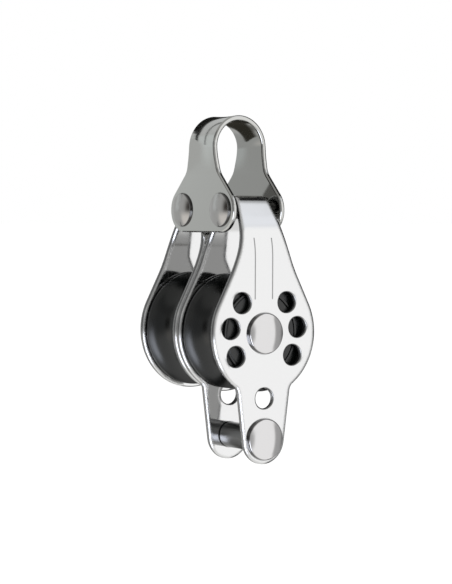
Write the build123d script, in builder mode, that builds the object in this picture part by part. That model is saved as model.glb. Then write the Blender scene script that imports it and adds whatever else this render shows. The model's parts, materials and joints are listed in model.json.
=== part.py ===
# Double sailing block with becket: two folded steel straps hung side by side in one folded head loop, each
# strap carrying a ball bearing sheave on a common axle rivet. Millimetres, +Z up, Y along the axle with the
# becket strap at -Y. The origin is the centre of the round top of the head loop.
from build123d import *

import math
import os

# Sheet metal
sheet = 1.0                     # thickness of every folded sheet
edge_round = 0.35               # tumbled round on the sheet edges
running_fit = 0.02              # radial clearance of a rivet in its hole

# Head loop
loop_radius = 5.95              # outside radius of the round top
loop_width = 8.6                # width of the sheet over the top
dish_radius = 55.0              # hollow across the bent sheet, which lifts its edges a little
dish_fade = 5.0                 # length of leg below the bend over which the sheet gets flat
rivet_drop = 11.9               # centre of the round top down to the head rivets
loop_taper = 15.0               # lean of the loop's sides below the top, degrees
taper_height = 3.8              # height of the leaning sides
taper_blend = 14.0              # radius between the upright and the leaning sides
shoulder_angle = 45.0           # lean of the shoulders above the rivets, degrees
shoulder_blend = 3.5            # radius between the leaning sides and the shoulders
foot_radius = 4.3               # round of the loop's lower corners about the rivets

# Straps
strap_gap = 0.4                 # thickness of the washer between the two straps
rim_cover = 0.7                 # how far the cheeks reach past the sheave rim
neck_clearance = 3.0            # round of the cheek up to where its sides meet those of the neck
neck_blend = 32.0               # radius that blends the cheek sides into the neck
knee_clearance = 6.5            # round of the cheek up to the knee, where the cheeks lean in
foot_clearance = 0.6            # knee up to the feet of the loop
waist_clearance = 0.05          # strap to the legs of the loop on each side, at the knee
crest_width = 7.0               # strap width over the rivet
knee_radius = 13.5              # inside bend radius at the knee
crest_radius = 1.8              # inside bend radius over the head rivet

# Vent holes in the cheeks
vent_radius = 1.9
vent_wall = 2.1                 # metal between a vent hole and the round edge of the cheek
vent_bridge = 1.57              # metal between two neighbouring vent holes
vent_middle_angle = 7.7         # middle hole of each side above the horizontal, degrees

# Becket leg of the front strap
becket_reach = 8.2              # round of the cheek down to the becket rivet
leg_margin = 0.8                # round end of the leg beyond the becket rivet's head
leg_taper = 7.5                 # widening of the leg towards the axle on each side, degrees
leg_blend = 2.0                 # radius between the leg and the round cheek
lacing_hole_radius = 1.9
lacing_hole_reach = 0.5         # round of the cheek down to the centre of the small hole in the leg
spacer_wall = 0.83              # wall of the tube around the becket rivet
spacer_chamfer = 0.3

# Rivets
axle_radius = 2.5
axle_head_radius = 3.85
becket_rivet_radius = 1.6
becket_head_radius = 3.9
button_edge = 0.4               # upright edge on the heads of the axle and the becket rivet
head_shoulder_clearance = 0.06  # strap crest to the shoulder of the head rivet
head_spigot_radius = 1.3        # ends of the head rivets through the loop
head_button_radius = 3.2
head_button_edge = 0.15         # upright edge on the heads of the head rivets
head_roll = 0.3                 # radius of the rolled rim between a head's edge and its dome
head_dome = 0.45                # rise of the dome above the rolled rim

# Sheave
sheave_radius = 11.0
side_clearance = 0.3            # sheave flank to the cheek
groove_floor = 0.8              # wall between the bottom of the groove and the ball track
rim_land = 0.7                  # width of the flat rim beside the groove
rim_round = 0.25
flank_recess = 0.45             # depth of the turned recess in each flank
recess_hub_wall = 0.35          # between the retaining ring's seat and the recess
recess_rim_wall = 0.5           # between the recess and the rim

# Ball bearing
ball_radius = 1.5875
ball_clearance = 0.04           # ball to race, radial and sideways, and least gap between two balls
race_wall = 1.6                 # wall of the sleeve that carries the balls
rib_width = 1.1                 # rib between the two rows of balls
rib_clearance = 0.35            # rib and retaining rings to the inner race
ring_seat = 0.45                # how far the retaining ring's seat is wider than the ball track
ring_width = 1.145              # retaining ring along the axle
ring_round = 0.3

# Bearing and sheave, from the axle outwards
bore_radius = axle_radius + running_fit
race_radius = bore_radius + race_wall
ball_circle = race_radius + ball_clearance + ball_radius
ball_count = math.floor(math.pi / math.asin((ball_radius + ball_clearance / 2) / ball_circle))
track_radius = ball_circle + ball_radius + ball_clearance
seat_radius = track_radius + ring_seat
lip_radius = race_radius + rib_clearance
row_offset = rib_width / 2 + ball_clearance + ball_radius
row_end = row_offset + ball_radius + ball_clearance
sheave_width = 2 * (row_end + ring_width)
groove_depth = sheave_radius - track_radius - groove_floor
recess_inner = seat_radius + recess_hub_wall
recess_outer = sheave_radius - recess_rim_wall

# Straps, from the sheave outwards
cheek_gap = sheave_width + 2 * side_clearance
strap_depth = cheek_gap + 2 * sheet
strap_pitch = strap_depth + strap_gap
cheek_radius = sheave_radius + rim_cover
vent_circle = cheek_radius - vent_wall - vent_radius
vent_step = 2 * math.asin((vent_radius + vent_bridge / 2) / vent_circle)
knee_rise = cheek_radius + knee_clearance
rivet_rise = knee_rise + foot_clearance + foot_radius
becket_drop = cheek_radius + becket_reach
lacing_hole_drop = cheek_radius + lacing_hole_reach
leg_end_radius = becket_head_radius + leg_margin
becket_bore_radius = becket_rivet_radius + running_fit
spacer_radius = becket_bore_radius + spacer_wall
loop_inner_radius = loop_radius - sheet
waist_width = 2 * (loop_inner_radius - waist_clearance)
shoulder_radius = crest_radius - head_shoulder_clearance

# Places
front_y = -strap_pitch / 2
rear_y = strap_pitch / 2
rivet_z = -rivet_drop
foot_z = rivet_z - foot_radius
axle_z = rivet_z - rivet_rise


def cheek_plane(y):
    """Plane across the axle at y: local x is X, local y is Z, and it faces the front."""
    return Plane(origin=(0, y, axle_z), x_dir=(1, 0, 0), z_dir=(0, -1, 0))


def section_plane(y, z=axle_z):
    """Plane along the axle at X = 0: local x is Y and local y is Z, with its centre on the axle or at z."""
    return Plane(origin=(0, y, z), x_dir=(0, 1, 0), z_dir=(1, 0, 0))


def strap_section(half_depth, knee_height, bend_radius, crest_bend):
    """Filled outline of a folded strap seen along X: upright sides, knees, and a crest over the head rivet."""
    rise = rivet_rise - knee_height
    lean = math.acos(crest_bend / math.hypot(half_depth, rise)) - math.atan2(rise, half_depth)
    touch_y = crest_bend * math.cos(lean)
    touch_z = rivet_rise + crest_bend * math.sin(lean)
    low = -becket_drop - 2 * leg_end_radius
    with BuildSketch() as section:
        with BuildLine():
            FilletPolyline(
                (-half_depth, low), (-half_depth, knee_height), (-touch_y, touch_z), radius=bend_radius
            )
            ThreePointArc((-touch_y, touch_z), (0, rivet_rise + crest_bend), (touch_y, touch_z))
            FilletPolyline(
                (touch_y, touch_z), (half_depth, knee_height), (half_depth, low), radius=bend_radius
            )
            Line((half_depth, low), (-half_depth, low))
        make_face()
    return section.sketch


def knee_lean():
    """Lean of the strap's sides above the knee, radians."""
    half_depth = strap_depth / 2
    rise = rivet_rise - knee_rise
    reach = math.hypot(half_depth, rise)
    return math.acos((crest_radius + sheet) / reach) - math.atan2(rise, half_depth)


def neck_points():
    """Right side of the neck, from its tangent point on the round cheek to the crest."""
    crest_height = rivet_rise + crest_radius + sheet
    slope = (waist_width - crest_width) / 2 / (crest_height - knee_rise)
    corner_z = cheek_radius + neck_clearance
    corner_x = waist_width / 2 + slope * (knee_rise - corner_z)
    angle = math.atan2(corner_z, corner_x) - math.acos(cheek_radius / math.hypot(corner_x, corner_z))
    touch = (cheek_radius * math.cos(angle), cheek_radius * math.sin(angle))
    top = (crest_width / 2, crest_height + sheet)
    return [touch, (corner_x, corner_z), (crest_width / 2, crest_height), top]


def mirrored(points):
    """The points, then the same points on the other side of X = 0 in reverse order."""
    return points + [(-x, z) for x, z in reversed(points)]


def leg_points():
    """Right side of the becket leg, from the tangent point on its round end up into the cheek."""
    taper = math.radians(leg_taper)
    touch_x = leg_end_radius * math.cos(taper)
    touch_z = -becket_drop - leg_end_radius * math.sin(taper)
    inside_z = -cheek_radius / 2
    return [(touch_x, touch_z), (touch_x + (inside_z - touch_z) * math.tan(taper), inside_z)]


def cheek_outline(with_leg):
    """Outline of the strap seen along the axle."""
    neck = neck_points()
    with BuildSketch() as outline:
        with BuildLine():
            Polyline(*mirrored(neck), close=True)
        make_face()
        corners = [v for v in outline.vertices() if abs(v.Y - neck[1][1]) < sheet / 10]
        fillet(corners, radius=neck_blend)
        Circle(cheek_radius)
        if with_leg:
            with BuildLine():
                Polyline(*mirrored(leg_points()), close=True)
            make_face()
            roots = [v for v in outline.vertices() if v.Y < -cheek_radius / 2 and abs(v.Y) < cheek_radius]
            fillet(roots, radius=leg_blend)
            with Locations((0, -becket_drop)):
                Circle(leg_end_radius)
    return outline.sketch


def vent_places():
    """Centres of the vent holes about the axle."""
    for step in (-1, 0, 1):
        angle = math.radians(vent_middle_angle) + step * vent_step
        for side in (-1, 1):
            yield (side * vent_circle * math.cos(angle), vent_circle * math.sin(angle))


def folded_strap(y, with_leg):
    """One strap, cut, pierced and folded over its head rivet."""
    knee_shift = sheet * math.tan(knee_lean() / 2)
    outside = strap_section(strap_depth / 2, knee_rise, knee_radius + sheet, crest_radius + sheet)
    inside = strap_section(cheek_gap / 2, knee_rise - knee_shift, knee_radius, crest_radius)
    with BuildPart() as strap:
        with BuildSketch(section_plane(y)):
            add(outside)
            add(inside, mode=Mode.SUBTRACT)
        extrude(amount=cheek_radius + sheet, both=True)
        with BuildSketch(cheek_plane(y)):
            add(cheek_outline(with_leg))
        extrude(amount=strap_depth, both=True, mode=Mode.INTERSECT)
        with BuildSketch(cheek_plane(y)):
            Circle(bore_radius)
            with Locations(*vent_places()):
                Circle(vent_radius)
            if with_leg:
                with Locations((0, -lacing_hole_drop)):
                    Circle(lacing_hole_radius)
                with Locations((0, -becket_drop)):
                    Circle(becket_bore_radius)
        extrude(amount=strap_depth, both=True, mode=Mode.SUBTRACT)
        fillet(strap.edges(), radius=edge_round)
    return strap


front_strap = folded_strap(front_y, with_leg=True)
front_strap.part.label = "front_strap"

rear_strap = folded_strap(rear_y, with_leg=False)
rear_strap.part.label = "rear_strap"


def loop_points():
    """Rear side of the head loop's outline, from its top down to the round lower corner."""
    taper = math.tan(math.radians(loop_taper))
    shoulder = math.radians(shoulder_angle)
    touch_y = rear_y + foot_radius * math.cos(shoulder)
    touch_z = rivet_z + foot_radius * math.sin(shoulder)
    # where the leaning side meets the shoulder line
    neck_y = loop_width / 2 + taper_height * taper
    neck_z = touch_z + (touch_y - neck_y) / math.tan(shoulder)
    top = (loop_width / 2, 2 * loop_radius)
    return [top, (loop_width / 2, neck_z + taper_height), (neck_y, neck_z), (touch_y, touch_z)]


def sheet_section(radius):
    """Section of the loop's sheet, local x across it and local y outwards: hollow to the radius, or flat at 0."""
    half = strap_pitch
    reach = radius - math.sqrt(radius**2 - half**2) if radius else 0
    with BuildSketch() as section:
        with BuildLine():
            for start in (loop_inner_radius, loop_radius):
                if radius:
                    ThreePointArc((-half, start + reach), (0, start), (half, start + reach))
                else:
                    Line((-half, start), (half, start))
            for end in (-half, half):
                Line((end, loop_inner_radius + reach), (end, loop_radius + reach))
        make_face()
    return section.sketch


def leg_plane(z):
    """Level plane at z: local x is Y and local y is X."""
    return Plane(origin=(0, 0, z), x_dir=(0, 1, 0), z_dir=(0, 0, -1))


# Head loop: one sheet folded into an upright U, with a round lower corner about each rivet
with BuildSketch() as loop_outline:
    side = loop_points()
    with BuildLine():
        Polyline(*mirrored(side), close=True)
    make_face()
    neck_corners = [v for v in loop_outline.vertices() if abs(v.Y - side[2][1]) < sheet / 10]
    fillet(neck_corners, radius=shoulder_blend)
    top_corners = [v for v in loop_outline.vertices() if abs(v.Y - side[1][1]) < sheet / 10]
    fillet(top_corners, radius=taper_blend)
    with Locations((0, (rivet_z + side[3][1]) / 2 - foot_radius / 2)):
        Rectangle(2 * rear_y, side[3][1] - foot_z)
    with Locations((front_y, rivet_z), (rear_y, rivet_z)):
        Circle(foot_radius)

with BuildPart() as head_loop:
    with BuildSketch(leg_plane(0)):
        add(sheet_section(dish_radius))
    revolve(axis=Axis((0, 0, 0), (0, -1, 0)), revolution_arc=180)
    # below the bend the hollow fades out
    for share in (0, 0.3, 0.7):
        hollow = 1 - share**2 * (3 - 2 * share)
        with BuildSketch(leg_plane(-share * dish_fade)):
            add(sheet_section(dish_radius / hollow))
    with BuildSketch(leg_plane(-dish_fade)):
        add(sheet_section(0))
    loft()
    with BuildSketch(leg_plane(-dish_fade)):
        add(sheet_section(0))
    extrude(amount=-foot_z - dish_fade)
    mirror(about=Plane.YZ)
    with BuildSketch(Plane.YZ):
        add(loop_outline.sketch)
    extrude(amount=2 * loop_radius, both=True, mode=Mode.INTERSECT)
    with BuildSketch(Plane.YZ):
        with Locations((front_y, rivet_z), (rear_y, rivet_z)):
            Circle(head_spigot_radius + running_fit)
    extrude(amount=2 * loop_radius, both=True, mode=Mode.SUBTRACT)
    fillet(head_loop.edges(), radius=edge_round)
head_loop.part.label = "head_loop"


def button_head(start, radius, edge, side):
    """Half section of a rivet head on local x = side * start: upright edge, rolled rim and a dome tangent to it."""
    rim_centre = (start + edge, radius - head_roll)
    tip = start + edge + head_roll + head_dome
    dome_radius = ((head_roll + head_dome) ** 2 + rim_centre[1] ** 2 - head_roll**2) / (2 * head_dome)
    dome_angle = math.asin(rim_centre[1] / (dome_radius - head_roll))
    rim_angle = (dome_angle + math.pi / 2) / 2

    def on_arc(centre, arc_radius, angle):
        return (side * (centre[0] + arc_radius * math.cos(angle)), centre[1] + arc_radius * math.sin(angle))

    dome_centre = (tip - dome_radius, 0)
    dome_foot = on_arc(dome_centre, dome_radius, dome_angle)
    edge_top = (side * (start + edge), radius)
    with BuildSketch() as head:
        with BuildLine():
            Polyline((side * tip, 0), (side * start, 0), (side * start, radius), edge_top)
            ThreePointArc(edge_top, on_arc(rim_centre, head_roll, rim_angle), dome_foot)
            ThreePointArc(dome_foot, on_arc(dome_centre, dome_radius, dome_angle / 2), (side * tip, 0))
        make_face()
    return head.sketch


def rivet(place, shank, end, head, edge, shoulder=0, shoulder_end=0):
    """A rivet along place's local x, with a formed head on each end and, if it has one, a thicker middle."""
    with BuildPart() as turned:
        with BuildSketch(place):
            with Locations((0, shank / 2)):
                Rectangle(2 * end, shank)
            if shoulder:
                with Locations((0, shoulder / 2)):
                    Rectangle(2 * shoulder_end, shoulder)
            for side in (-1, 1):
                add(button_head(end, head, edge, side))
        revolve(axis=Axis(place.origin, place.x_dir))
    return turned


def ring(y, inner, outer, half_length):
    """A plain turned ring about the axle, with its middle at y."""
    with BuildPart() as turned:
        with BuildSketch(cheek_plane(y)):
            Circle(outer)
            Circle(inner, mode=Mode.SUBTRACT)
        extrude(amount=half_length, both=True)
    return turned


def head_rivet(y):
    """The strap's crest hangs on the shoulder of this rivet, between the legs of the loop."""
    return rivet(
        Plane(origin=(0, y, rivet_z), x_dir=(1, 0, 0), z_dir=(0, -1, 0)),
        shank=head_spigot_radius,
        end=loop_radius,
        head=head_button_radius,
        edge=head_button_edge,
        shoulder=shoulder_radius,
        shoulder_end=loop_inner_radius,
    )


front_head_rivet = head_rivet(front_y)
front_head_rivet.part.label = "front_head_rivet"

rear_head_rivet = head_rivet(rear_y)
rear_head_rivet.part.label = "rear_head_rivet"

# Axle: one rivet through both straps and the washer between them
axle_rivet = rivet(
    section_plane(0),
    shank=axle_radius,
    end=strap_pitch / 2 + strap_depth / 2,
    head=axle_head_radius,
    edge=button_edge,
)
axle_rivet.part.label = "axle_rivet"

strap_washer = ring(0, bore_radius, axle_head_radius, strap_gap / 2)
strap_washer.part.label = "strap_washer"

# Becket: a rivet across the foot of the front strap, inside a tube that keeps the cheeks apart
becket_rivet = rivet(
    section_plane(front_y, axle_z - becket_drop),
    shank=becket_rivet_radius,
    end=strap_depth / 2,
    head=becket_head_radius,
    edge=button_edge,
)
becket_rivet.part.label = "becket_rivet"

with BuildPart() as becket_spacer:
    with BuildSketch(cheek_plane(front_y)):
        with Locations((0, -becket_drop)):
            Circle(spacer_radius)
            Circle(becket_bore_radius, mode=Mode.SUBTRACT)
    extrude(amount=cheek_gap / 2, both=True)
    rims = becket_spacer.edges().filter_by(GeomType.CIRCLE).group_by(SortBy.RADIUS)[-1]
    chamfer(rims, length=spacer_chamfer)
becket_spacer.part.label = "becket_spacer"

# Bearing races: a sleeve on the axle between the cheeks of each strap
front_race = ring(front_y, bore_radius, race_radius, cheek_gap / 2)
front_race.part.label = "front_race"

rear_race = ring(rear_y, bore_radius, race_radius, cheek_gap / 2)
rear_race.part.label = "rear_race"


def sheave_section():
    """Half section of the sheave: local x along the axle, local y the radius."""
    half = sheave_width / 2
    groove_half = half - rim_land
    with BuildSketch() as section:
        with Locations((0, (lip_radius + sheave_radius) / 2)):
            Rectangle(sheave_width, sheave_radius - lip_radius)
        rims = section.vertices().group_by(Axis.Y)[-1]
        fillet(rims, radius=rim_round)
        with BuildLine():
            ThreePointArc(
                (-groove_half, sheave_radius), (0, sheave_radius - groove_depth), (groove_half, sheave_radius)
            )
            Line((groove_half, sheave_radius), (-groove_half, sheave_radius))
        make_face(mode=Mode.SUBTRACT)
        for side in (-1, 1):
            # ball track, seat of the retaining ring and recess in the flank
            track_middle = (rib_width / 2 + row_end) / 2
            seat_middle = (row_end + half) / 2
            with Locations((side * track_middle, (lip_radius + track_radius) / 2)):
                Rectangle(row_end - rib_width / 2, track_radius - lip_radius, mode=Mode.SUBTRACT)
            with Locations((side * seat_middle, (lip_radius + seat_radius) / 2)):
                Rectangle(half - row_end, seat_radius - lip_radius, mode=Mode.SUBTRACT)
            with Locations((side * (half - flank_recess / 2), (recess_inner + recess_outer) / 2)):
                Rectangle(flank_recess, recess_outer - recess_inner, mode=Mode.SUBTRACT)
    return section.sketch


def sheave(y):
    """One grooved wheel with a track for two rows of balls."""
    with BuildPart() as wheel:
        with BuildSketch(section_plane(y)):
            add(sheave_section())
        revolve(axis=Axis((0, y, axle_z), (0, 1, 0)))
    return wheel


def retaining_ring(y, side):
    """The ring that closes one row of balls, in its seat in the flank on the given side."""
    middle = y + side * (row_end + ring_width / 2)
    with BuildPart() as turned:
        with BuildSketch(cheek_plane(middle)):
            Circle(seat_radius - running_fit)
            Circle(lip_radius, mode=Mode.SUBTRACT)
        extrude(amount=ring_width / 2, both=True)
        flank = turned.faces().filter_by(GeomType.PLANE).sort_by(Axis.Y)[-1 if side > 0 else 0]
        fillet(flank.edges(), radius=ring_round)
    return turned


def ball_row(y, side):
    """One row of balls between the race and the sheave."""
    with BuildPart() as row:
        with Locations(cheek_plane(y + side * row_offset)):
            with PolarLocations(ball_circle, ball_count):
                Sphere(ball_radius)
    return row


front_sheave = sheave(front_y)
front_sheave.part.label = "front_sheave"

front_outer_ring = retaining_ring(front_y, -1)
front_outer_ring.part.label = "front_outer_ring"

front_inner_ring = retaining_ring(front_y, 1)
front_inner_ring.part.label = "front_inner_ring"

front_outer_balls = ball_row(front_y, -1)
front_outer_balls.part.label = "front_outer_balls"

front_inner_balls = ball_row(front_y, 1)
front_inner_balls.part.label = "front_inner_balls"

rear_sheave = sheave(rear_y)
rear_sheave.part.label = "rear_sheave"

rear_outer_ring = retaining_ring(rear_y, 1)
rear_outer_ring.part.label = "rear_outer_ring"

rear_inner_ring = retaining_ring(rear_y, -1)
rear_inner_ring.part.label = "rear_inner_ring"

rear_outer_balls = ball_row(rear_y, 1)
rear_outer_balls.part.label = "rear_outer_balls"

rear_inner_balls = ball_row(rear_y, -1)
rear_inner_balls.part.label = "rear_inner_balls"

os.makedirs("parts", exist_ok=True)
pieces = [
    head_loop,
    front_strap,
    rear_strap,
    front_head_rivet,
    rear_head_rivet,
    axle_rivet,
    strap_washer,
    becket_rivet,
    becket_spacer,
    front_race,
    front_sheave,
    front_outer_ring,
    front_inner_ring,
    front_outer_balls,
    front_inner_balls,
    rear_race,
    rear_sheave,
    rear_outer_ring,
    rear_inner_ring,
    rear_outer_balls,
    rear_inner_balls,
]
for piece in pieces:
    export_step(piece.part, f"parts/{piece.part.label}.step")
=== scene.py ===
import json
import math

import bpy
from mathutils import Matrix, Vector


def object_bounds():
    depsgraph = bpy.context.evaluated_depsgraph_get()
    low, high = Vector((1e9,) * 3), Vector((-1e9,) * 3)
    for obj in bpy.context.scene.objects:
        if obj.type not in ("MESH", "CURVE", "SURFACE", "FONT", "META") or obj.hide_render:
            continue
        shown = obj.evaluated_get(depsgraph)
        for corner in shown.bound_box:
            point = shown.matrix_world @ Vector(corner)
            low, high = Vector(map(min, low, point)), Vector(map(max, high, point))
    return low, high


MM = 0.001

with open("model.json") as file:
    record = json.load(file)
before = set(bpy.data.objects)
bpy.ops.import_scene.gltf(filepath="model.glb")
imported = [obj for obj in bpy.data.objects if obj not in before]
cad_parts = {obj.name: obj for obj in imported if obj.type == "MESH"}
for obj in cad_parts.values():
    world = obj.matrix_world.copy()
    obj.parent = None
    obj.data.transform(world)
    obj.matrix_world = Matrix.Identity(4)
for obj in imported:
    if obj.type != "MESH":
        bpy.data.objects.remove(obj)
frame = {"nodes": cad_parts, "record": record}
cad_box = [list(corner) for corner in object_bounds()]
nodes = frame["nodes"]


# Camera: the photograph's viewpoint, in the part's own frame
CAMERA_PLACE = (-229.83, -335.69, -13.50)    # mm
CAMERA_YAW = 34.38                           # degrees from +Y towards +X
CAMERA_PITCH = 1.99                          # degrees below the horizon
CAMERA_ROLL = -0.26                          # degrees
FOCAL_LENGTH = 2120                          # in pixels of the 452 x 584 image
IMAGE_HEIGHT = 584
SENSOR = 36.0                                # mm, along the image's long side
CLIP_NEAR = 0.01                             # m
CLIP_FAR = 50                                # m


def make_camera():
    """A camera at the photograph's viewpoint."""
    yaw, pitch, roll = (math.radians(a) for a in (CAMERA_YAW, CAMERA_PITCH, CAMERA_ROLL))
    forward = Vector((math.sin(yaw) * math.cos(pitch), math.cos(yaw) * math.cos(pitch), -math.sin(pitch)))
    level = Vector((math.cos(yaw), -math.sin(yaw), 0))
    down = forward.cross(level)
    right = math.cos(roll) * level + math.sin(roll) * down
    up = -(math.cos(roll) * down - math.sin(roll) * level)
    data = bpy.data.cameras.new("camera")
    data.sensor_width = SENSOR
    data.lens = FOCAL_LENGTH * SENSOR / IMAGE_HEIGHT
    data.clip_start = CLIP_NEAR
    data.clip_end = CLIP_FAR
    camera = bpy.data.objects.new("camera", data)
    turn = Matrix((right, up, -forward)).transposed().to_4x4()
    camera.matrix_world = Matrix.Translation(Vector(CAMERA_PLACE) * MM) @ turn
    bpy.context.scene.collection.objects.link(camera)
    bpy.context.scene.camera = camera


make_camera()
bpy.context.scene.view_settings.view_transform = "Standard"


class Nodes:
    """A short way to write a node tree."""

    def __init__(self, tree):
        self.tree = tree
        tree.nodes.clear()

    def put(self, value, socket):
        """Links a socket, or sets a plain value."""
        if isinstance(value, bpy.types.NodeSocket):
            self.tree.links.new(value, socket)
        else:
            socket.default_value = value

    def add(self, kind, inputs=None, **settings):
        """A new node with its settings and its inputs, which are values or sockets."""
        node = self.tree.nodes.new(kind)
        for name, value in settings.items():
            setattr(node, name, value)
        for name, value in (inputs or {}).items():
            self.put(value, node.inputs[name])
        return node

    def math(self, operation, a, b=0.0):
        return self.add("ShaderNodeMath", {0: a, 1: b}, operation=operation).outputs[0]

    def inverse(self, mask):
        return self.math("SUBTRACT", 1.0, mask)

    def step(self, value, low, high):
        """0 below low, 1 above high and smooth between them; the other way round if low is the higher."""
        inputs = {"Value": value, "From Min": low, "From Max": high}
        return self.add("ShaderNodeMapRange", inputs, interpolation_type="SMOOTHSTEP").outputs[0]

    def mix(self, factor, a, b):
        """Colour a where the factor is 0 and colour b where it is 1."""
        node = self.add("ShaderNodeMix", data_type="RGBA")
        self.put(factor, next(s for s in node.inputs if s.name == "Factor"))
        for name, value in (("A", a), ("B", b)):
            self.put(value, next(s for s in node.inputs if s.name == name and s.type == "RGBA"))
        return next(s for s in node.outputs if s.type == "RGBA")


def new_material(name):
    """A node material, and its tree."""
    material = bpy.data.materials.new(name)
    material.use_nodes = True
    return material, Nodes(material.node_tree)


# Studio: what the metal reflects, as soft panels of light and dark around the object.
# Each panel: azimuths from +X towards +Y, elevations, soft edge (all in degrees), colour.
# A later panel lies over the ones before it.
SURROUND = (0.42, 0.42, 0.41)
GROUND = (0.75, 0.75, 0.74)
HORIZON = (3.0, -20.0)                       # elevations between which the surround turns to ground
PANELS = {
    "wall behind": (50, 126, -30, 38, 4, (0.60, 0.61, 0.61)),
    "dim floor behind": (54, 126, -62, -38, 3, (0.30, 0.30, 0.29)),
    "grey beyond": (50, 70, -36, 12, 4, (0.34, 0.34, 0.335)),
    "grey left": (98, 141, -28, 24, 5, (0.53, 0.54, 0.535)),
    "light strip left": (108, 123, 0, 24, 2.5, (0.66, 0.69, 0.69)),
    "dark above left": (134, 250, 24, 46, 4, (0.20, 0.20, 0.20)),
    "dark left": (148, 176, -3, 20, 5, (0.04, 0.035, 0.03)),
    "low lamp left": (131, 166, -24, -6, 6, (0.95, 0.92, 0.88)),
    "left": (180, 228, -12, 22, 6, (0.28, 0.285, 0.29)),
    "dark front left": (230, 242, -4, 10, 3, (0.16, 0.16, 0.16)),
    "front": (250, 284, -30, 10, 6, (0.42, 0.42, 0.42)),
    "lamp front right": (283, 319.5, -34, 38, 2.5, (1.01, 1.01, 1.01)),
    "grey right": (320, 331, -30, 34, 2, (0.42, 0.42, 0.42)),
    "black right": (331, 406, -50, 60, 2, (0.015, 0.015, 0.015)),
    "grey low right": (340, 384, -36, -7, 3, (0.36, 0.36, 0.36)),
    "lamp above": (300, 330, 36, 56, 4, (0.87, 0.89, 0.93)),
    "grey above": (330, 343, 40, 60, 3, (0.45, 0.46, 0.47)),
    "low lamp front": (231, 253, -42, -8, 5, (4.0, 4.2, 4.7)),
}
# Arcs behind the object, which the bends of the head loop reflect. Each is a stretch of a ring round one
# direction: its azimuth and elevation, the ring's inner and outer radius, the azimuths and the elevations
# that it is kept to, soft edge (all in degrees), colour.
ARCS = {
    "dark arc above": (91.5, 2, 33.6, 39, 40, 111, 10, 60, 0.4, (0.012, 0.012, 0.011)),
    "narrower end of the dark arc": (91.5, 2, 33.8, 36.7, 108, 116, 10, 60, 0.5, (0.015, 0.015, 0.015)),
    "tip of the dark arc": (91.5, 2, 34.2, 36.0, 113, 124, 10, 60, 0.5, (0.02, 0.02, 0.02)),
    "thin arc above": (91.5, 2, 29.1, 29.9, 60, 122, 6, 60, 0.3, (0.12, 0.12, 0.12)),
    "dark arc below": (92, 0, 31.4, 39.6, 50, 122, -60, -14.5, 0.6, (0.045, 0.042, 0.034)),
}


def between(tree, angle, first, last, soft):
    """1 between two angles in degrees, and 0 outside them."""
    offset = tree.math("SUBTRACT", angle, (first + last) / 2)
    wrapped = tree.add("ShaderNodeMath", {0: offset, 1: 180.0, 2: -180.0}, operation="WRAP").outputs[0]
    half = (last - first) / 2
    return tree.step(tree.math("ABSOLUTE", wrapped), half + soft, half - soft)


def add_panel(tree, azimuth, elevation, colour, left, right, low, high, soft, light):
    """Lays one soft-edged panel over the colour that is there."""
    across = between(tree, azimuth, left, right, soft)
    mask = tree.math("MULTIPLY", across, between(tree, elevation, low, high, soft))
    return tree.mix(mask, colour, (*light, 1.0))


def add_arc(tree, ray, angles, colour, middle, radii, limits, soft, light):
    """Lays one soft-edged stretch of a ring over the colour that is there."""
    azimuth, elevation = (math.radians(angle) for angle in middle)
    flat = math.cos(elevation)
    direction = (flat * math.cos(azimuth), flat * math.sin(azimuth), math.sin(elevation))
    along = tree.add("ShaderNodeVectorMath", {0: ray, 1: direction}, operation="DOT_PRODUCT").outputs["Value"]
    away = tree.math("DEGREES", tree.math("ARCCOSINE", along))
    mask = between(tree, away, *radii, soft)
    for angle, first, last in zip(angles, limits[::2], limits[1::2]):
        mask = tree.math("MULTIPLY", mask, between(tree, angle, first, last, soft))
    return tree.mix(mask, colour, (*light, 1.0))


def make_world():
    """White to the camera, and the studio's panels to everything else."""
    world = bpy.data.worlds.new("studio")
    bpy.context.scene.world = world
    world.use_nodes = True
    tree = Nodes(world.node_tree)
    ray = tree.add("ShaderNodeTexCoord").outputs["Generated"]
    split = tree.add("ShaderNodeSeparateXYZ", {0: ray}).outputs
    azimuth = tree.math("DEGREES", tree.math("ARCTAN2", split["Y"], split["X"]))
    elevation = tree.math("DEGREES", tree.math("ARCSINE", split["Z"]))
    ground = tree.step(elevation, *HORIZON)
    colour = tree.mix(ground, (*SURROUND, 1.0), (*GROUND, 1.0))
    for panel in PANELS.values():
        colour = add_panel(tree, azimuth, elevation, colour, *panel)
    for arc in ARCS.values():
        middle, radii, limits, (soft, light) = arc[:2], arc[2:4], arc[4:8], arc[8:]
        colour = add_arc(tree, ray, (azimuth, elevation), colour, middle, radii, limits, soft, light)
    to_camera = tree.add("ShaderNodeLightPath").outputs["Is Camera Ray"]
    colour = tree.mix(to_camera, colour, (1.0, 1.0, 1.0, 1.0))
    background = tree.add("ShaderNodeBackground", {"Color": colour})
    tree.add("ShaderNodeOutputWorld", {"Surface": background.outputs[0]})


make_world()

FLOOR_GAP = 30                               # mm below the hanging block
FLOOR_SIZE = 40                              # m
PAPER = 0.9                                  # how pale the floor's paper is
PAPER_LIFT = 0.75                            # light that it adds, to the camera alone


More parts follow.
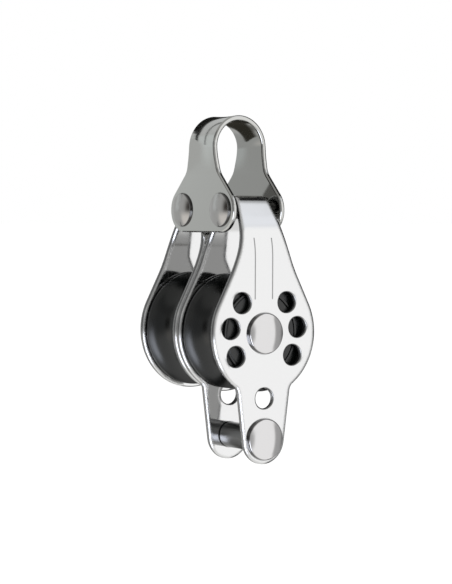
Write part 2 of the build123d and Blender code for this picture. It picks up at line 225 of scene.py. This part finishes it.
def make_floor():
    """A plain pale floor below the hanging block."""
    data = bpy.data.meshes.new("floor")
    half = FLOOR_SIZE / 2
    height = cad_box[0][2] - FLOOR_GAP * MM
    corners = [(-half, -half, height), (half, -half, height), (half, half, height), (-half, half, height)]
    data.from_pydata(corners, [], [(0, 1, 2, 3)])
    floor = bpy.data.objects.new("floor", data)
    bpy.context.scene.collection.objects.link(floor)
    material, tree = new_material("floor_paper")
    paper = tree.add("ShaderNodeBsdfDiffuse", {"Color": (PAPER, PAPER, PAPER, 1.0)})
    to_camera = tree.add("ShaderNodeLightPath").outputs["Is Camera Ray"]
    lift = tree.add("ShaderNodeEmission", {"Strength": tree.math("MULTIPLY", to_camera, PAPER_LIFT)})
    both = tree.add("ShaderNodeAddShader", {0: paper.outputs[0], 1: lift.outputs[0]})
    tree.add("ShaderNodeOutputMaterial", {"Surface": both.outputs[0]})
    data.materials.append(material)
    floor.visible_glossy = False


make_floor()


def dulled(colour, share):
    """The colour with only this share of its brightness."""
    return (*(channel * share for channel in colour), 1.0)


def noise(tree, place, scale, detail):
    inputs = {"Vector": place, "Scale": scale, "Detail": detail}
    return tree.add("ShaderNodeTexNoise", inputs).outputs["Fac"]


# The straps' edges roll over along their outline, but not at the pierced holes: the places of the axle
# and of the lacing hole (X, Z), and how far round each of them the sheet stays flat, in mm
PIERCED = (((0, -35), 9.9), ((0, -47.2), 2.6))
PIERCED_SOFT = 0.2                           # mm


def off_the_holes(tree, place):
    """1 along the straps' outline and 0 round the pierced holes."""
    split = tree.add("ShaderNodeSeparateXYZ", {0: place}).outputs
    mask = 1.0
    for (across, height), reach in PIERCED:
        aside = tree.math("SUBTRACT", split["X"], across * MM)
        above = tree.math("SUBTRACT", split["Z"], height * MM)
        squares = tree.math("ADD", tree.math("POWER", aside, 2.0), tree.math("POWER", above, 2.0))
        past = tree.step(tree.math("SQRT", squares), (reach - PIERCED_SOFT) * MM, (reach + PIERCED_SOFT) * MM)
        mask = tree.math("MULTIPLY", mask, past)
    return mask


# Two thin lines engraved along the front cheek, above the axle: middle along X, and their ends along Z
LINE_MIDDLES = (-2.235, 1.74)                # mm
LINE_HALF_WIDTH = 0.12
LINE_ENDS = (-28.6, -17.1)
LINE_FACE = -11.95                           # the outer face of the front cheek lies beyond this Y
LINE_SOFT = 0.04                             # how far their edges blend
LINE_END_SOFT = 0.05                         # and their ends
LINE_TONE = (0.36, 0.36, 0.36, 1.0)
LINE_ROUGHNESS = 0.3                         # rougher than the sheet by this


def engraved_lines(tree, place):
    """1 on the engraved lines and 0 elsewhere."""
    split = tree.add("ShaderNodeSeparateXYZ", {0: place}).outputs
    marks = 0.0
    for middle in LINE_MIDDLES:
        aside = tree.math("ABSOLUTE", tree.math("SUBTRACT", split["X"], middle * MM))
        beside = tree.step(aside, (LINE_HALF_WIDTH - LINE_SOFT) * MM, (LINE_HALF_WIDTH + LINE_SOFT) * MM)
        marks = tree.math("ADD", marks, tree.inverse(beside))
    along = tree.math("ABSOLUTE", tree.math("SUBTRACT", split["Z"], sum(LINE_ENDS) / 2 * MM))
    half = (LINE_ENDS[1] - LINE_ENDS[0]) / 2
    past_end = tree.step(along, (half - LINE_END_SOFT) * MM, (half + LINE_END_SOFT) * MM)
    marks = tree.math("MULTIPLY", marks, tree.inverse(past_end))
    behind = tree.step(split["Y"], LINE_FACE * MM, (LINE_FACE + LINE_SOFT / 2) * MM)
    return tree.math("MULTIPLY", marks, tree.inverse(behind))


# Steel: its grain runs level, so it is drawn fine along Z and long across
GRAIN_SCALE = (400, 400, 9000)               # per metre
GRAIN_DEPTH = 0.02                           # mm
CLOUD_SCALE = 350.0                          # per metre
CLOUDY = (0.85, 1.2)                         # least and most of the roughness, where the polish clouds it
CORNER_SHADE_REACH = 0.45                            # mm from a corner over which painted shade darkens the steel
CORNER_SHADE_TONE = 0.3                              # share of the brightness that the painted corner shade leaves
WORN_EDGE = 1.1                              # mm over which the straps' edges roll over
CUT_TONE = 0.4                               # share that the straps' sheared sides keep
CUT_ROUGHNESS = 0.12                         # and how much rougher they are
RIM_TONE = 0.42                              # share that the rims of the pierced holes keep
RIM_ROUGHNESS = 0.25
HEAD_SIDE_SHADE = 0.25                        # share of the brightness left on the sides of the rivets' heads, painted shade that outlines them
INSIDE_SHADE = 0.72                           # share of the brightness left on the inside of the head loop, painted shade
INSIDE_SOFT = 0.002
SAMPLES = 8                                  # rays for the rolled edges and for the painted corner shade


class Steel:
    """Stainless steel with faint rolling grain, cloudy polish and painted shade in its corners."""

    def __init__(self, name, colour, roughness, grain):
        self.material, self.tree = new_material(name)
        self.colour = colour
        tree = self.tree
        coordinates = tree.add("ShaderNodeTexCoord").outputs
        self.place = coordinates["Object"]
        self.facing = coordinates["Normal"]
        self.turned = tree.add("ShaderNodeSeparateXYZ", {0: self.facing}).outputs
        stretched = tree.add("ShaderNodeMapping", {"Vector": self.place, "Scale": GRAIN_SCALE}).outputs[0]
        lines = noise(tree, stretched, 1.0, 3.0)
        depth = {"Strength": grain, "Distance": GRAIN_DEPTH * MM, "Height": lines}
        self.bump = tree.add("ShaderNodeBump", depth)
        self.tone = (*colour, 1.0)
        least, most = (share * roughness for share in CLOUDY)
        cloud = noise(tree, self.place, CLOUD_SCALE, 4.0)
        limits = {"Value": cloud, "From Min": 0.3, "From Max": 0.7, "To Min": least, "To Max": most}
        self.shade = tree.add("ShaderNodeMapRange", limits).outputs[0]

    def facing_along(self, axis):
        """How squarely the surface faces along an axis, from 0 to 1."""
        return self.tree.math("ABSOLUTE", self.turned[axis])

    def tint(self, mask, tone):
        self.tone = self.tree.mix(mask, self.tone, tone)

    def roughen(self, mask, amount):
        self.shade = self.tree.math("ADD", self.shade, self.tree.math("MULTIPLY", mask, amount))

    def rolled_edges(self):
        """Edges that roll over along the sheet's outline, with duller sheared sides and hole rims."""
        tree = self.tree
        outline = off_the_holes(tree, self.place)
        rolled = tree.add("ShaderNodeBevel", {"Radius": WORN_EDGE * MM}, samples=SAMPLES).outputs[0]
        flat = tree.add("ShaderNodeNewGeometry").outputs["Normal"]
        tree.put(tree.mix(outline, flat, rolled), self.bump.inputs["Normal"])
        cut_side = tree.step(self.facing_along("X"), 0.55, 0.85)
        self.tint(cut_side, dulled(self.colour, CUT_TONE))
        self.roughen(cut_side, CUT_ROUGHNESS)
        rim = tree.math("MULTIPLY", tree.step(self.facing_along("Y"), 0.98, 0.85), tree.inverse(outline))
        self.tint(rim, dulled(self.colour, RIM_TONE))
        self.roughen(rim, RIM_ROUGHNESS)

    def engraved(self):
        """The two lines engraved in the front cheek."""
        marks = engraved_lines(self.tree, self.place)
        self.tint(marks, LINE_TONE)
        self.roughen(marks, LINE_ROUGHNESS)

    def shade_head_sides(self, axis):
        """Painted shade round the sides of the heads of a rivet that lies along this axis, as a dark outline.
        """
        side = self.tree.step(self.facing_along(axis), 0.88, 0.6)
        self.tint(side, dulled(self.colour, HEAD_SIDE_SHADE))

    def shade_inside(self):
        """Painted shade on the inside of a sheet that is bent round the origin."""
        inputs = {0: self.place, 1: self.facing}
        outwards = self.tree.add("ShaderNodeVectorMath", inputs, operation="DOT_PRODUCT").outputs["Value"]
        inside = self.tree.step(outwards, INSIDE_SOFT, -INSIDE_SOFT)
        self.tint(inside, dulled(self.colour, INSIDE_SHADE))

    def finish(self):
        """Adds painted shade in the corners and returns the material."""
        tree = self.tree
        # Painted shade: ambient occlusion darkens the colour near corners and between parts
        reach = {"Distance": CORNER_SHADE_REACH * MM}
        openness = tree.add("ShaderNodeAmbientOcclusion", reach, samples=SAMPLES).outputs["AO"]
        self.tint(tree.step(openness, 0.85, 0.4), dulled(self.colour, CORNER_SHADE_TONE))
        inputs = {
            "Base Color": self.tone,
            "Metallic": 1.0,
            "Roughness": self.shade,
            "Normal": self.bump.outputs[0],
        }
        surface = tree.add("ShaderNodeBsdfPrincipled", inputs)
        tree.add("ShaderNodeOutputMaterial", {"Surface": surface.outputs[0]})
        return self.material


def loop_steel():
    steel = Steel("loop_steel", (0.64, 0.64, 0.62), 0.06, 0.04)
    steel.shade_inside()
    return steel.finish()


def strap_steel(name, lines=False):
    steel = Steel(name, (0.86, 0.86, 0.86), 0.07, 0.03)
    steel.rolled_edges()
    if lines:
        steel.engraved()
    return steel.finish()


def rivet_steel():
    steel = Steel("rivet_steel", (0.75, 0.74, 0.74), 0.10, 0.03)
    steel.shade_head_sides("Y")
    return steel.finish()


def head_rivet_steel():
    """The peened rivets across the head loop, duller than the turned ones."""
    steel = Steel("head_rivet_steel", (0.54, 0.53, 0.52), 0.15, 0.03)
    steel.shade_head_sides("X")
    return steel.finish()


def spacer_steel():
    return Steel("spacer_steel", (0.21, 0.21, 0.21), 0.32, 0.10).finish()


UNEVEN_SCALE = 900.0                         # per metre
UNEVEN_DEPTH = 0.02                          # mm


def plastic(name, colour, roughness):
    """Acetal: even colour, satin, with a faintly uneven surface."""
    material, tree = new_material(name)
    place = tree.add("ShaderNodeTexCoord").outputs["Object"]
    uneven = noise(tree, place, UNEVEN_SCALE, 3.0)
    bump = tree.add("ShaderNodeBump", {"Strength": 0.05, "Distance": UNEVEN_DEPTH * MM, "Height": uneven})
    inputs = {
        "Base Color": (*colour, 1.0),
        "Roughness": roughness,
        "Specular IOR Level": 0.7,
        "Normal": bump.outputs[0],
    }
    surface = tree.add("ShaderNodeBsdfPrincipled", inputs)
    tree.add("ShaderNodeOutputMaterial", {"Surface": surface.outputs[0]})
    return material


FINISHES = {
    "loop_steel": loop_steel(),
    "strap_steel": strap_steel("strap_steel"),
    "rivet_steel": rivet_steel(),
    "spacer_steel": spacer_steel(),
    "sheave_plastic": plastic("sheave_plastic", (0.006, 0.008, 0.008), 0.26),
    "ball_plastic": plastic("ball_plastic", (0.80, 0.79, 0.75), 0.25),
}
for subpart in frame["record"]["subparts"]:
    mesh = nodes[subpart["node"]].data
    mesh.materials.clear()
    mesh.materials.append(FINISHES[subpart["material_slot"]])
peened = head_rivet_steel()
for name in ("front_head_rivet", "rear_head_rivet"):
    nodes[name].data.materials[0] = peened
nodes["front_strap"].data.materials[0] = strap_steel("front_strap_steel", lines=True)
